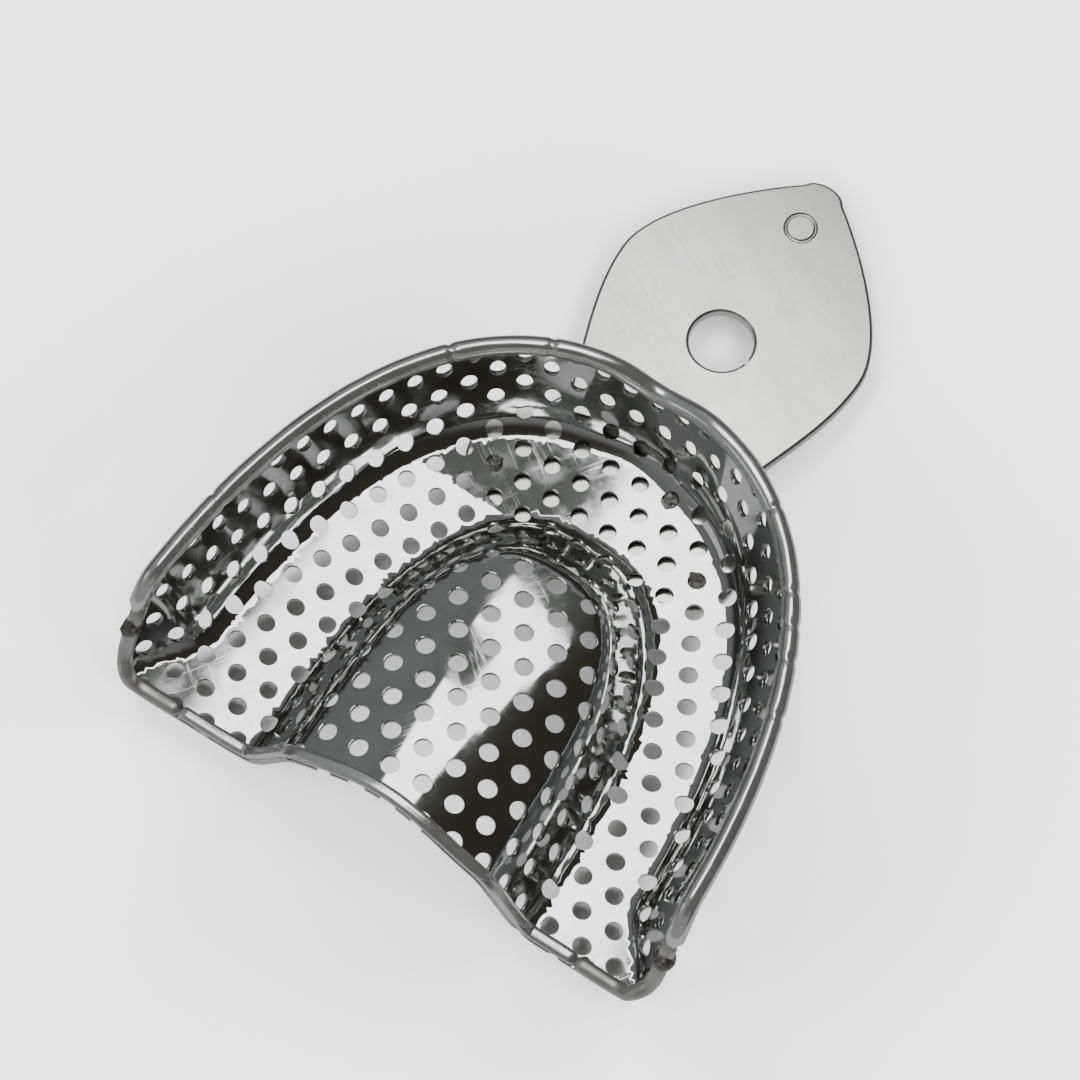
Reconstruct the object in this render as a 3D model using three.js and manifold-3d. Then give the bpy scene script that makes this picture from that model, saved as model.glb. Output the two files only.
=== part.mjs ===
// Perforated upper impression tray: a pressed, perforated steel sheet with a bead round its
// arch, a strip along its back border, wrapped and soldered corners, and a flat spade handle
// whose foot lies under the front floor. Millimetres. +Z is up, on the side that faces the
// teeth, -Y is the handle's end, and the tray is laid out either side of X = 0.
import * as THREE from "three";
import { mergeVertices } from "three/addons/utils/BufferGeometryUtils.js";
import Module from "manifold-3d";

// ---- Driving dimensions ----
const clearance = 0.3; // left between pieces that are soldered together

// Pressed sheet
const sheetThickness = 0.7;
const archHalfWidth = 29.1; // across the wall's cut edge at the back
const archLength = 48; // from the corners to the wall's front edge
const archFullness = 2.38; // exponent of the arch's outline, 2 being an ellipse
const wallHeight = 10.5;
const wallFlare = THREE.MathUtils.degToRad(18); // leaning out from upright
const cornerHeight = 1.6; // height of the wall's edge at the back corners
const cornerBack = 1; // where the wall's edge starts to climb, behind the corners' line
const cornerRun = 9; // over which the wall's edge climbs from there
const foldRise = 8; // height over which the floor curves up into the wall
const restGap = 0.1; // between the back of the floor and the table
const notchDepth = 1.3; // dip for the lip's frenum at the front
const notchHalfWidth = 4;
const notchBack = 14; // where the dip starts, behind the wall's front edge
const notchRun = 10; // over which it reaches its depth
const borderReach = 1.2; // the back border, behind the corners' line
const borderArch = 1.6; // how far the border curves forward over the palate
const borderArchHalfWidth = 9;
const cornerRounding = 2.2;

// Palate vault
const sideTrough = 13.1; // from the vault's foot to the wall's cut edge, across
const trimSpread = 0.4; // part of that width over which the edge's trim stays at the wall
const frontTrough = 12.5; // and at the front
const vaultFullness = 2.6;
const vaultHeight = 9.2;
const vaultCrown = 3.6; // part of the height that belongs to the crowned top
const vaultAside = 1.2; // to the right of the middle
const flankWidth = 6; // plan width of the vault's steep side
const frontFlankWidth = 9.5; // and of its front
const frontFlankBack = 28.8; // where the side starts to widen, behind the wall's front edge
const frontFlankRun = 19.2; // over which it reaches the front's width

// Perforation
const holePitch = 3.5;
const holeDiameter = 2;
const holeSides = 6; // one corner of each hole looks into each gap between three holes
const blankTurn = THREE.MathUtils.degToRad(-1.4);
const blankShift = new THREE.Vector2(0.5, 0);
const settlingSteps = 420;
const settlingShare = 0.75; // part of each stretch that one step takes up
const firstSqueeze = 0.8; // of the flat blank, before it settles

// Rim
const beadDiameter = 1.8;
const beadStart = 3.6; // where the bead ends, forward of the corners
const stripWidth = 1.35;
const stripThickness = 0.6;
const stripEnd = 6.5; // from the tray's side to the strip's end
const wrapThickness = 1.1;
const wrapBend = 0.3; // part of the corner's rounding that the wrap's turn takes up
const solderRadius = 0.75;
const stripSolderRadius = 0.6;

// Handle
const plateThickness = 1.3;
const plateEdge = 0.25; // eased edge
const gripLength = 32.2; // from the wall's front edge to the tip
const gripHalfWidth = 13.9;
const gripWidest = 15.8; // forward of the wall's front edge
const neckHalfWidth = 9.8;
const neckFlare = 1.6; // how far the neck's curve leans out
const neckRun = 5; // length of that curve's pull
const gripRoundness = 5.5; // pull of the curves either side of the widest place
const tipRadius = 2.2;
const tipSpread = 2.6; // pull of the curves into the tip, in tip radii
const tipRun = 3.4;
const tipBow = 0.7; // how far the tip's end bulges
const hangingHole = 6.4;
const hangingHoleForward = 12.2; // forward of the wall's front edge
const footDepth = 15.3; // behind the wall's front edge
const footHalfWidth = 15;
const footShoulderRun = 4; // from the neck to the foot's shoulder
const footSideEnd = 9; // where the foot's straight side ends, behind the wall's front edge
const footEndBow = 1;
const footEndSpread = 0.7; // part of the foot's half width
const brazeRadius = 0.6;
const brazeHalfLength = 8;
const seatingPasses = 30; // halvings that find where the braze lies
const footSolderBack = 12; // the two side joints, behind the wall's front edge
const footSolderHalfSpan = 12.5;
const frontSolderBack = 6;
const frontSolderAside = 4; // to the right of the middle
const solderProud = 0.2; // how far foot solder stands above the floor

// ---- Materials ----
const polished = { color: 0xc9cbc9, roughness: 0.12, metalness: 1 };
const bright = { color: 0xd6d8d6, roughness: 0.1, metalness: 1 };
const brushed = { color: 0xd2d3d0, roughness: 0.26, metalness: 1 };
const solder = { color: 0xb4b3ac, roughness: 0.38, metalness: 1 };

// ---- The pressed form ----
// Positions on the form are given by x and by `forward`, the distance ahead of the line
// through the back corners, so that y = -forward.
const floorBack = sheetThickness + restGap;
const floorFront = plateThickness + clearance + sheetThickness;
const footBack = archLength - footDepth;
const vaultHalfWidth = archHalfWidth - sideTrough;
const vaultLength = archLength - frontTrough;

const smoothStep = (t) => THREE.MathUtils.smoothstep(t, 0, 1);

// Share of the outline's size at a point (1 on the outline) and the distance inside it.
function insideOutline(x, forward, halfWidth, length, fullness) {
  const across = Math.abs(x) / halfWidth;
  const along = Math.max(forward, 0) / length;
  const share = (across ** fullness + along ** fullness) ** (1 / fullness) + 1e-9;
  const slopeAcross = (across / share) ** (fullness - 1) / halfWidth;
  const slopeAlong = (along / share) ** (fullness - 1) / length;
  return { share, inset: (1 - share) / Math.hypot(slopeAcross, slopeAlong, 1e-6) };
}

// Height of the wall's cut edge.
function edgeHeight(x, forward) {
  const climb = smoothStep((forward + cornerBack) / cornerRun);
  const notch = notchDepth * Math.exp(-((x / notchHalfWidth) ** 2));
  const atFront = smoothStep((forward - archLength + notchBack) / notchRun);
  return cornerHeight + (wallHeight - cornerHeight) * climb - notch * atFront;
}

function floorHeight(forward) {
  const climb = THREE.MathUtils.clamp(forward / footBack, 0, 1);
  return floorBack + (floorFront - floorBack) * climb;
}

function vaultRise(x, forward) {
  const aside = x + vaultAside;
  const vault = insideOutline(aside, forward, vaultHalfWidth, vaultLength, vaultFullness);
  const towardFront = smoothStep((forward - archLength + frontFlankBack) / frontFlankRun);
  const width = THREE.MathUtils.lerp(flankWidth, frontFlankWidth, towardFront);
  const flank = smoothStep(vault.inset / width);
  const crown = 1 - Math.min(vault.share, 1) ** 2;
  return (vaultHeight - vaultCrown) * flank + vaultCrown * crown;
}

// Height of the sheet's upper face: the floor and vault, blended into the wall by the fold.
function formHeight(x, forward) {
  const floor = floorHeight(forward);
  const edge = edgeHeight(x, forward);
  const base = floor + vaultRise(x, forward);
  const arch = insideOutline(x, forward, archHalfWidth, archLength, archFullness);
  const wall = edge - arch.inset / Math.tan(wallFlare);
  const over = wall - base;
  const fold = Math.min(foldRise, edge - floor); // the fold ends at the wall's edge
  if (Math.abs(over) > fold) return Math.max(wall, base);
  return (wall + base) / 2 + (fold * (1 + (over / fold) ** 2)) / 4;
}

function formNormal(x, forward) {
  const step = 1e-3;
  const slopeX = (formHeight(x + step, forward) - formHeight(x - step, forward)) / (2 * step);
  const slopeF = (formHeight(x, forward + step) - formHeight(x, forward - step)) / (2 * step);
  return new THREE.Vector3(-slopeX, slopeF, 1).normalize();
}

// Moves a point onto the form, square to it.
function settleOnForm(point) {
  for (let pass = 0; pass < 2; pass += 1) {
    const normal = formNormal(point.x, -point.y);
    const gap = formHeight(point.x, -point.y) - point.z;
    point.addScaledVector(normal, gap * normal.z);
  }
  point.z = formHeight(point.x, -point.y);
  return point;
}

// ---- The perforated blank ----
// Hole centres of the flat blank in staggered rows, enough to reach past every cut edge.
function flatBlank() {
  const reachAcross = archHalfWidth + wallHeight + vaultHeight / 3;
  const reachForward = archLength + wallHeight + vaultHeight / 2;
  const reachBack = borderReach + vaultHeight + holePitch;
  const rows = Math.ceil(reachForward / holePitch) * 2;
  const centres = [];
  const indexAt = new Map();
  for (let row = -rows; row <= rows; row += 1) {
    const stagger = row % 2 === 0 ? 0 : 0.5;
    for (let column = -rows; column <= rows; column += 1) {
      const flat = new THREE.Vector2(column + stagger, (row * Math.sqrt(3)) / 2);
      flat.multiplyScalar(holePitch).add(blankShift).rotateAround(new THREE.Vector2(), blankTurn);
      if (flat.y < -reachBack) continue;
      const blank = insideOutline(flat.x, flat.y, reachAcross, reachForward, archFullness);
      if (blank.share > 1) continue;
      indexAt.set(`${row},${column}`, centres.length);
      centres.push({ row, column, flat });
    }
  }
  // The six neighbours of each centre in turn, anticlockwise seen from above.
  for (const centre of centres) {
    const odd = centre.row % 2 === 0 ? 0 : 1;
    const around = [[0, 1], [-1, odd], [-1, odd - 1], [0, -1], [1, odd - 1], [1, odd]];
    centre.neighbours = around.map(([ahead, right]) =>
      indexAt.get(`${centre.row + ahead},${centre.column + right}`));
  }
  return centres;
}

// The blank pressed onto the form: every centre lies on it, and neighbours stay one pitch
// apart as nearly as the sheet can keep them.
function pressedBlank() {
  const centres = flatBlank();
  for (const centre of centres) {
    const { x, y } = centre.flat.clone().multiplyScalar(firstSqueeze);
    centre.place = new THREE.Vector3(x, -y, formHeight(x, y));
  }
  for (let step = 0; step < settlingSteps; step += 1) {
    const moves = centres.map((centre) => {
      const move = new THREE.Vector3();
      const near = centre.neighbours.filter((index) => index !== undefined);
      for (const index of near) {
        const link = centres[index].place.clone().sub(centre.place);
        const stretch = 1 - holePitch / link.length();
        move.addScaledVector(link, (settlingShare * stretch) / near.length);
      }
      return move;
    });
    centres.forEach((centre, index) => settleOnForm(centre.place.add(moves[index])));
  }
  for (const centre of centres) {
    centre.punched = centre.neighbours.every((index) => index !== undefined);
  }
  return centres;
}

// A closed sheet of even thickness with a round hole at every punched centre.
function perforatedSheet(centres) {
  const corners = []; // points on the upper face
  const cornerOf = centres.map((centre) => {
    if (!centre.punched) {
      corners.push(centre.place.clone());
      return Array(holeSides).fill(corners.length - 1);
    }
    const normal = formNormal(centre.place.x, -centre.place.y);
    const area = (holeSides / 2) * Math.sin((2 * Math.PI) / holeSides);
    const radius = (holeDiameter / 2) * Math.sqrt(Math.PI / area);
    return centre.neighbours.map((index, side) => {
      const next = centre.neighbours[(side + 1) % holeSides];
      const aim = centres[index].place.clone().add(centres[next].place);
      aim.addScaledVector(centre.place, -2).projectOnPlane(normal).setLength(radius);
      corners.push(settleOnForm(centre.place.clone().add(aim)));
      return corners.length - 1;
    });
  });
  const below = corners.map((point) => {
    const normal = formNormal(point.x, -point.y);
    return point.clone().addScaledVector(normal, -sheetThickness);
  });
  const faces = [];
  const addPanel = (ring) => {
    const loop = ring.filter((corner, index) => corner !== ring[(index + 1) % ring.length]);
    for (let i = 1; i + 1 < loop.length; i += 1) {
      const face = [loop[0], loop[i], loop[i + 1]];
      faces.push(face, face.map((corner) => corner + corners.length).reverse());
    }
  };
  const addWall = (from, to) => {
    const drop = corners.length;
    faces.push([from, from + drop, to + drop], [from, to + drop, to]);
  };
  centres.forEach((centre, index) => {
    centre.neighbours.forEach((near, side) => {
      if (near === undefined) return;
      const before = (side + holeSides - 1) % holeSides;
      const opposite = (side + holeSides / 2) % holeSides;
      const pastOpposite = (opposite + holeSides - 1) % holeSides;
      const next = centre.neighbours[(side + 1) % holeSides];
      const previous = centre.neighbours[before];
      const own = cornerOf[index];
      const other = cornerOf[near];
      const mayLink = next !== undefined && previous !== undefined;
      if (index < near && mayLink) {
        addPanel([own[before], other[opposite], other[pastOpposite], own[side]]);
      } else if (!mayLink && next !== undefined) {
        // The blank's outer edge, its inside on the left.
        addWall(own[side], other[pastOpposite]);
      }
      if (next !== undefined && index < near && index < next) {
        const third = cornerOf[next];
        addPanel([own[side], other[(side + 2) % holeSides], third[(side + 4) % holeSides]]);
      }
      if (centre.punched) addWall(own[side], own[before]);
    });
  });
  const points = [...corners, ...below].flatMap((point) => point.toArray());
  const geometry = new THREE.BufferGeometry();
  geometry.setAttribute("position", new THREE.Float32BufferAttribute(points, 3));
  geometry.setIndex(faces.flat());
  return geometry;
}

// ---- Joining and cutting ----
const wasm = await Module();
wasm.setup();

function solidOf(geometry) {
  const bare = geometry.clone();
  bare.deleteAttribute("normal");
  bare.deleteAttribute("uv");
  const merged = mergeVertices(bare, 1e-4);
  return new wasm.Manifold(new wasm.Mesh({
    numProp: 3,
    vertProperties: merged.attributes.position.array,
    triVerts: new Uint32Array(merged.index.array),
  }));
}

function geometryOf(solid) {
  const mesh = solid.getMesh();
  const geometry = new THREE.BufferGeometry();
  geometry.setAttribute("position", new THREE.BufferAttribute(mesh.vertProperties, 3));
  geometry.setIndex(new THREE.BufferAttribute(mesh.triVerts, 1));
  geometry.computeVertexNormals();
  return geometry;
}

// Back border of the sheet: how far forward it is at x, with its rounded corners.
function borderForward(x) {
  const arch = borderArch * Math.exp(-((x / borderArchHalfWidth) ** 2));
  const intoCorner = Math.abs(x) - (archHalfWidth - cornerRounding);
  const run = THREE.MathUtils.clamp(intoCorner, 0, cornerRounding);
  return arch - borderReach + cornerRounding - Math.sqrt(cornerRounding ** 2 - run ** 2);
}

// A block whose underside follows the wall's cut edge, for trimming what stands above it, and
// is raised clear of the vault further in.
function blockAboveEdge() {
  const side = 3 * archLength;
  const top = 4 * wallHeight;
  const cells = 110;
  const wallSpread = trimSpread * sideTrough;
  const block = new THREE.BoxGeometry(side, side, 1, cells, cells, 1);
  const place = block.attributes.position;
  for (let i = 0; i < place.count; i += 1) {
    const x = place.getX(i);
    const forward = -place.getY(i);
    const arch = insideOutline(x, forward, archHalfWidth, archLength, archFullness);
    const raised = 2 * vaultHeight * smoothStep(arch.inset / wallSpread - 1);
    place.setZ(i, place.getZ(i) > 0 ? top : edgeHeight(x, forward) + raised);
  }
  return block;
}

// An upright block behind the back border.
function blockBehindBorder() {
  const side = 2 * archHalfWidth;
  const outline = new THREE.Shape();
  outline.moveTo(-side, 0);
  const steps = 120;
  for (let i = 0; i <= steps; i += 1) {
    const x = THREE.MathUtils.lerp(-archHalfWidth, archHalfWidth, i / steps);
    outline.lineTo(x, -borderForward(x));
  }
  outline.lineTo(side, 0);
  outline.lineTo(side, side);
  outline.lineTo(-side, side);
  const block = new THREE.ExtrudeGeometry(outline, { depth: 4 * wallHeight, bevelEnabled: false });
  return block.translate(0, 0, -wallHeight);
}

function trayShell() {
  const sheet = solidOf(perforatedSheet(centres));
  const trimmed = sheet.subtract(solidOf(blockAboveEdge())).subtract(solidOf(blockBehindBorder()));
  const pieces = trimmed.decompose();
  const largest = pieces.reduce((best, piece) => (piece.volume() > best.volume() ? piece : best));
  return geometryOf(largest);
}

// ---- Rim pieces ----
// Bends a piece that was made upright along Y, one unit long, so that it follows a path.
// Its X then points to the path's outer side and its Z up from it.
function bendAlong(geometry, pathPoint) {
  const place = geometry.attributes.position;
  const local = new THREE.Vector3();
  const up = new THREE.Vector3(0, 0, 1);
  for (let i = 0; i < place.count; i += 1) {
    local.fromBufferAttribute(place, i);
    const along = local.y + 0.5;
    const here = pathPoint(along);
    const ahead = pathPoint(along + 1e-3).sub(pathPoint(along - 1e-3)).normalize();
    const side = new THREE.Vector3().crossVectors(ahead, up).normalize();
    const lift = new THREE.Vector3().crossVectors(side, ahead);
    here.addScaledVector(side, local.x).addScaledVector(lift, local.z);
    place.setXYZ(i, here.x, here.y, here.z);
  }
  return geometry;
}

// A point in plan on the arch's outline, moved out by `outset`, as x and forward.
function archPoint(angle, outset) {
  const across = Math.abs(Math.cos(angle)) ** (2 / archFullness) * Math.sign(Math.cos(angle));
  const along = Math.abs(Math.sin(angle)) ** (2 / archFullness) * Math.sign(Math.sin(angle));
  return new THREE.Vector2((archHalfWidth + outset) * across, (archLength + outset) * along);
}

// A point above the wall's cut edge, on the middle of the sheet and `rise` square to the edge.
function abovePoint(angle, rise) {
  const ahead = archPoint(angle + 0.01, 0);
  const behind = archPoint(angle - 0.01, 0);
  const climb = edgeHeight(ahead.x, ahead.y) - edgeHeight(behind.x, behind.y);
  const lift = rise * Math.hypot(1, climb / ahead.distanceTo(behind));
  const outset = lift * Math.tan(wallFlare) + sheetThickness / 2 / Math.cos(wallFlare);
  const plan = archPoint(angle, outset);
  return new THREE.Vector3(plan.x, -plan.y, edgeHeight(plan.x, plan.y) + lift);
}

const angleAtForward = (forward) => Math.asin((forward / archLength) ** (archFullness / 2));

function outerRimBead() {
  const start = angleAtForward(beadStart);
  const rise = clearance + beadDiameter / 2;
  const rod = new THREE.CylinderGeometry(beadDiameter / 2, beadDiameter / 2, 1, 8, 72);
  return bendAlong(rod, (t) => abovePoint(start + (Math.PI - 2 * start) * t, rise));
}

function posteriorRimStrip() {
  const end = archHalfWidth - stripEnd;
  const strip = new THREE.BoxGeometry(stripWidth, 1, stripThickness, 1, 56, 1);
  const lift = 1.5 * clearance + stripThickness / 2;
  return bendAlong(strip, (t) => {
    const x = THREE.MathUtils.lerp(-end, end, t);
    const forward = borderForward(x) + stripWidth / 2;
    const normal = formNormal(x, forward);
    const place = new THREE.Vector3(x, -forward, formHeight(x, forward));
    return place.addScaledVector(normal, lift);
  });
}

// The wrapped corner runs from the bead's end down and round to the strip's end.
function cornerWrap(side) {
  const lift = clearance + wrapThickness / 2;
  const gap = 2 * solderRadius + 2 * clearance;
  const rounding = wrapBend * cornerRounding;
  const cornerX = archHalfWidth - rounding;
  const cornerForward = rounding - borderReach;
  const flatPoint = (x) => {
    const forward = borderForward(x) + wrapThickness / 2;
    return new THREE.Vector3(x, -forward, formHeight(x, forward) + lift);
  };
  const points = [
    abovePoint(angleAtForward(beadStart - gap), lift),
    abovePoint(angleAtForward(wrapBend * beadStart), lift),
    new THREE.Vector3(cornerX, -cornerForward, edgeHeight(cornerX, cornerForward) + lift),
    flatPoint(archHalfWidth - cornerRounding),
    flatPoint(archHalfWidth - stripEnd + gap),
  ];
  const curve = new THREE.CatmullRomCurve3(points);
  const rod = new THREE.CylinderGeometry(wrapThickness / 2, wrapThickness / 2, 1, 8, 20);
  bendAlong(rod, (t) => {
    const inside = THREE.MathUtils.clamp(t, 0, 1);
    const end = curve.getPoint(inside);
    return end.addScaledVector(curve.getTangent(inside), (t - inside) * curve.getLength());
  });
  return mirrored(rod, side);
}

// The piece itself for side 1, or its mirror image across X = 0 for side -1.
function mirrored(geometry, side) {
  if (side > 0) return geometry;
  geometry.scale(-1, 1, 1);
  geometry.index.array.reverse();
  return geometry;
}

// A small heap of solder.
function solderHeap(place, radius, height) {
  const heap = new THREE.SphereGeometry(radius, 12, 8);
  heap.rotateX(Math.PI / 2);
  return heap.scale(1, 1, height / radius).translate(place.x, place.y, place.z);
}

function beadSolder(side) {
  const forward = beadStart - clearance - solderRadius;
  const place = abovePoint(angleAtForward(forward), clearance + solderRadius);
  place.x *= side;
  return solderHeap(place, solderRadius, solderRadius);
}

function stripSolder(side) {
  const x = archHalfWidth - stripEnd + clearance + solderRadius;
  const forward = borderForward(x) + stripWidth / 2;
  const height = formHeight(x, forward) + clearance + stripSolderRadius;
  return solderHeap(new THREE.Vector3(side * x, -forward, height), stripSolderRadius, stripSolderRadius);
}

// ---- Handle ----
function handlePlate() {
  const root = -archLength; // y of the wall's front edge
  const shape = new THREE.Shape();
  const tip = root - gripLength + plateEdge;
  const neck = neckHalfWidth - plateEdge;
  const grip = gripHalfWidth - plateEdge;
  const foot = footHalfWidth - plateEdge;
  const widest = root - gripWidest;
  const footEnd = root + footDepth - plateEdge;
  const shoulder = root + footShoulderRun;
  const sideEnd = root + footSideEnd;
  const low = widest - gripRoundness;
  const high = widest + gripRoundness;
  const spread = tipRadius * tipSpread;
  const end = tip + tipBow;
  shape.moveTo(neck, root);
  shape.bezierCurveTo(neck + neckFlare, root - neckRun, grip, high, grip, widest);
  shape.bezierCurveTo(grip, low, spread, tip + tipRun, tipRadius, end);
  shape.quadraticCurveTo(0, tip - tipBow, -tipRadius, end);
  shape.bezierCurveTo(-spread, tip + tipRun, -grip, low, -grip, widest);
  shape.bezierCurveTo(-grip, high, -neck - neckFlare, root - neckRun, -neck, root);
  shape.bezierCurveTo(-neck, shoulder, -foot, shoulder, -foot, sideEnd);
  shape.bezierCurveTo(-foot, footEnd - footEndBow, -foot * footEndSpread, footEnd, 0, footEnd);
  shape.bezierCurveTo(foot * footEndSpread, footEnd, foot, footEnd - footEndBow, foot, sideEnd);
  shape.bezierCurveTo(foot, shoulder, neck, shoulder, neck, root);
  const hole = new THREE.Path();
  const holeRadius = hangingHole / 2 + plateEdge;
  hole.absarc(0, root - hangingHoleForward, holeRadius, 0, 2 * Math.PI, false);
  shape.holes.push(hole);
  const plate = new THREE.ExtrudeGeometry(shape, {
    depth: plateThickness - 2 * plateEdge,
    bevelThickness: plateEdge,
    bevelSize: plateEdge,
    bevelSegments: 1,
    curveSegments: 10,
  });
  return plate.translate(0, 0, plateEdge);
}

// How far a point lies under the form, square to it.
function depthUnderForm(point) {
  const nearest = settleOnForm(point.clone());
  return point.distanceTo(nearest) * Math.sign(nearest.z - point.z);
}

// The run of braze between the handle and the foot of the front wall. At each x its middle
// line is as far back under the wall as the clearance lets it be.
function handleBraze() {
  const height = plateThickness + clearance + brazeRadius;
  const apart = sheetThickness + clearance + brazeRadius;
  const rod = new THREE.CylinderGeometry(brazeRadius, brazeRadius, 1, 8, 24);
  return bendAlong(rod, (t) => {
    const x = THREE.MathUtils.lerp(brazeHalfLength, -brazeHalfLength, t);
    const share = 1 - (Math.abs(x) / archHalfWidth) ** archFullness;
    const place = new THREE.Vector3(x, 0, height);
    let out = archLength * share ** (1 / archFullness);
    let back = out - frontTrough / 2;
    for (let pass = 0; pass < seatingPasses; pass += 1) {
      place.y = -(out + back) / 2;
      if (depthUnderForm(place) > apart) out = -place.y;
      else back = -place.y;
    }
    return place.setY(-out);
  });
}

// Solder that fills a floor hole over the handle's foot: the punched hole nearest the place.
function footSolder(x, back) {
  const wanted = new THREE.Vector2(x, back - archLength);
  const away = (centre) => wanted.distanceTo(new THREE.Vector2(centre.place.x, centre.place.y));
  const hole = centres.filter((centre) => centre.punched)
    .reduce((best, centre) => (away(centre) < away(best) ? centre : best));
  const radius = holeDiameter / 2 - clearance;
  const low = plateThickness + clearance;
  const high = formHeight(hole.place.x, -hole.place.y) + solderProud;
  const place = new THREE.Vector3(hole.place.x, hole.place.y, (low + high) / 2);
  return solderHeap(place, radius, (high - low) / 2);
}

// ---- Assembly ----
const centres = pressedBlank();
const tray = new THREE.Group();

function addPiece(name, geometry, finish) {
  const piece = new THREE.Mesh(geometry, new THREE.MeshStandardMaterial(finish));
  piece.name = name;
  tray.add(piece);
}

addPiece("tray_shell", trayShell(), polished);
addPiece("outer_rim_bead", outerRimBead(), bright);
addPiece("posterior_rim_strip", posteriorRimStrip(), bright);
for (const [name, side] of [["left", 1], ["right", -1]]) {
  addPiece(`${name}_corner_wrap`, cornerWrap(side), bright);
  addPiece(`${name}_bead_solder`, beadSolder(side), solder);
  addPiece(`${name}_strip_solder`, stripSolder(side), solder);
}
addPiece("handle_plate", handlePlate(), brushed);
addPiece("handle_braze", handleBraze(), solder);
addPiece("left_foot_solder", footSolder(footSolderHalfSpan, footSolderBack), solder);
addPiece("right_foot_solder", footSolder(-footSolderHalfSpan, footSolderBack), solder);
addPiece("front_foot_solder", footSolder(-frontSolderAside, frontSolderBack), solder);

// The origin is under the middle of the tray and handle, on the table.
const box = new THREE.Box3().setFromObject(tray, true);
const middle = box.getCenter(new THREE.Vector3());
tray.position.set(-middle.x, -middle.y, -box.min.z);

export default tray;
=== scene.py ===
"""Looks of a perforated upper impression tray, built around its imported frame.

Sizes are in millimetres on the tray's own layout: x across the arch, `forward` ahead of the line
through the back corners and z up. Layout turns them into the frame's metres.
"""

import logging
import math
from dataclasses import dataclass, field
from enum import Enum
from typing import Callable, Sequence

import bmesh
import bpy
import numpy as np
from mathutils import Matrix, Vector, noise


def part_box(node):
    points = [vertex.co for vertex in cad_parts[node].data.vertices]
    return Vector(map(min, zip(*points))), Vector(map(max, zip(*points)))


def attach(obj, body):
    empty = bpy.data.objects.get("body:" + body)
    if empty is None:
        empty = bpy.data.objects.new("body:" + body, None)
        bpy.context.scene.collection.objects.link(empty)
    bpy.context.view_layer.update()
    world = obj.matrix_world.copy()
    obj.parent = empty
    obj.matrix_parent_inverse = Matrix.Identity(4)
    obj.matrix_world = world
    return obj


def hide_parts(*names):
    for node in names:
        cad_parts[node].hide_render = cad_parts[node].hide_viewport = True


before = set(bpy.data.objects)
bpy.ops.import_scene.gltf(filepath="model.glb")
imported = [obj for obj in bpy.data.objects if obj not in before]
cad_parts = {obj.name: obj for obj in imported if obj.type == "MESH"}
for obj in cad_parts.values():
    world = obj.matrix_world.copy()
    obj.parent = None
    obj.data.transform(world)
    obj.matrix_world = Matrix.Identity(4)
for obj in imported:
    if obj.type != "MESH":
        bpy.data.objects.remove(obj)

LOG = logging.getLogger("impression_tray")
MM = 0.001
UP = np.array([0.0, 0.0, 1.0])


class Slot(Enum):
    """Material slots of the record."""

    SHEET = "perforated_sheet"
    WIRE = "rim_wire"
    HANDLE = "handle_steel"
    SOLDER = "solder"


class Side(Enum):
    """Sides of the tray; the value is the sign of x."""

    LEFT = 1
    RIGHT = -1


# ---- Geometry of the pressed form ----
def smooth_step(share: np.ndarray) -> np.ndarray:
    """Eases a share from 0 to 1, held at both ends."""
    held = np.clip(share, 0.0, 1.0)
    return held * held * (3.0 - 2.0 * held)


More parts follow.
